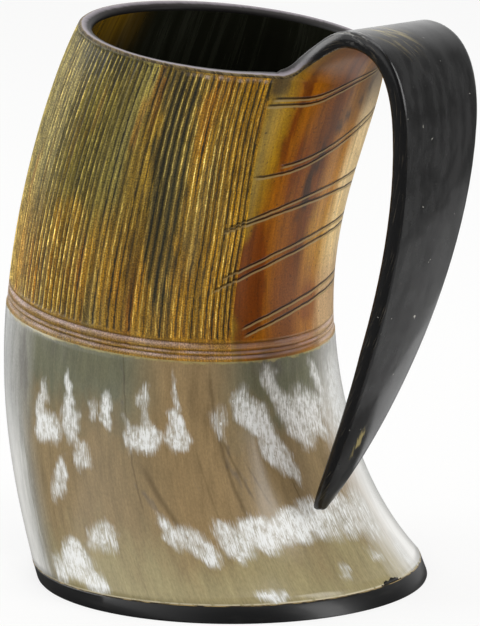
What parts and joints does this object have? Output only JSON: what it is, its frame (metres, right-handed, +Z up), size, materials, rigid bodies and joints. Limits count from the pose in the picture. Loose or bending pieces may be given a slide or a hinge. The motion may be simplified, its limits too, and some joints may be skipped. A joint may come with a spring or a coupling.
{
  "type": "horn drinking cup",
  "caption": "Bowed horn drinking cup: ring band at the waist, heat-bent handle strip running out of the rim, rebated horn base plate bedded in glue.",
  "frame": {"origin": "centre of the flat underside, on the surface the cup stands on", "axes": "+Z up through the mouth, +X towards the handle, +Y completes a right-handed frame"},
  "size_m": [0.1405, 0.1048, 0.1528],
  "materials": {
    "horn": "polished horn, carved above the waist",
    "black_horn": "polished black horn",
    "glue": "cured glue"
  },
  "bodies": {
    "root": {"horn_cup": "horn", "base_plate": "black_horn", "glue_seam": "glue"}
  },
  "joints": []
}
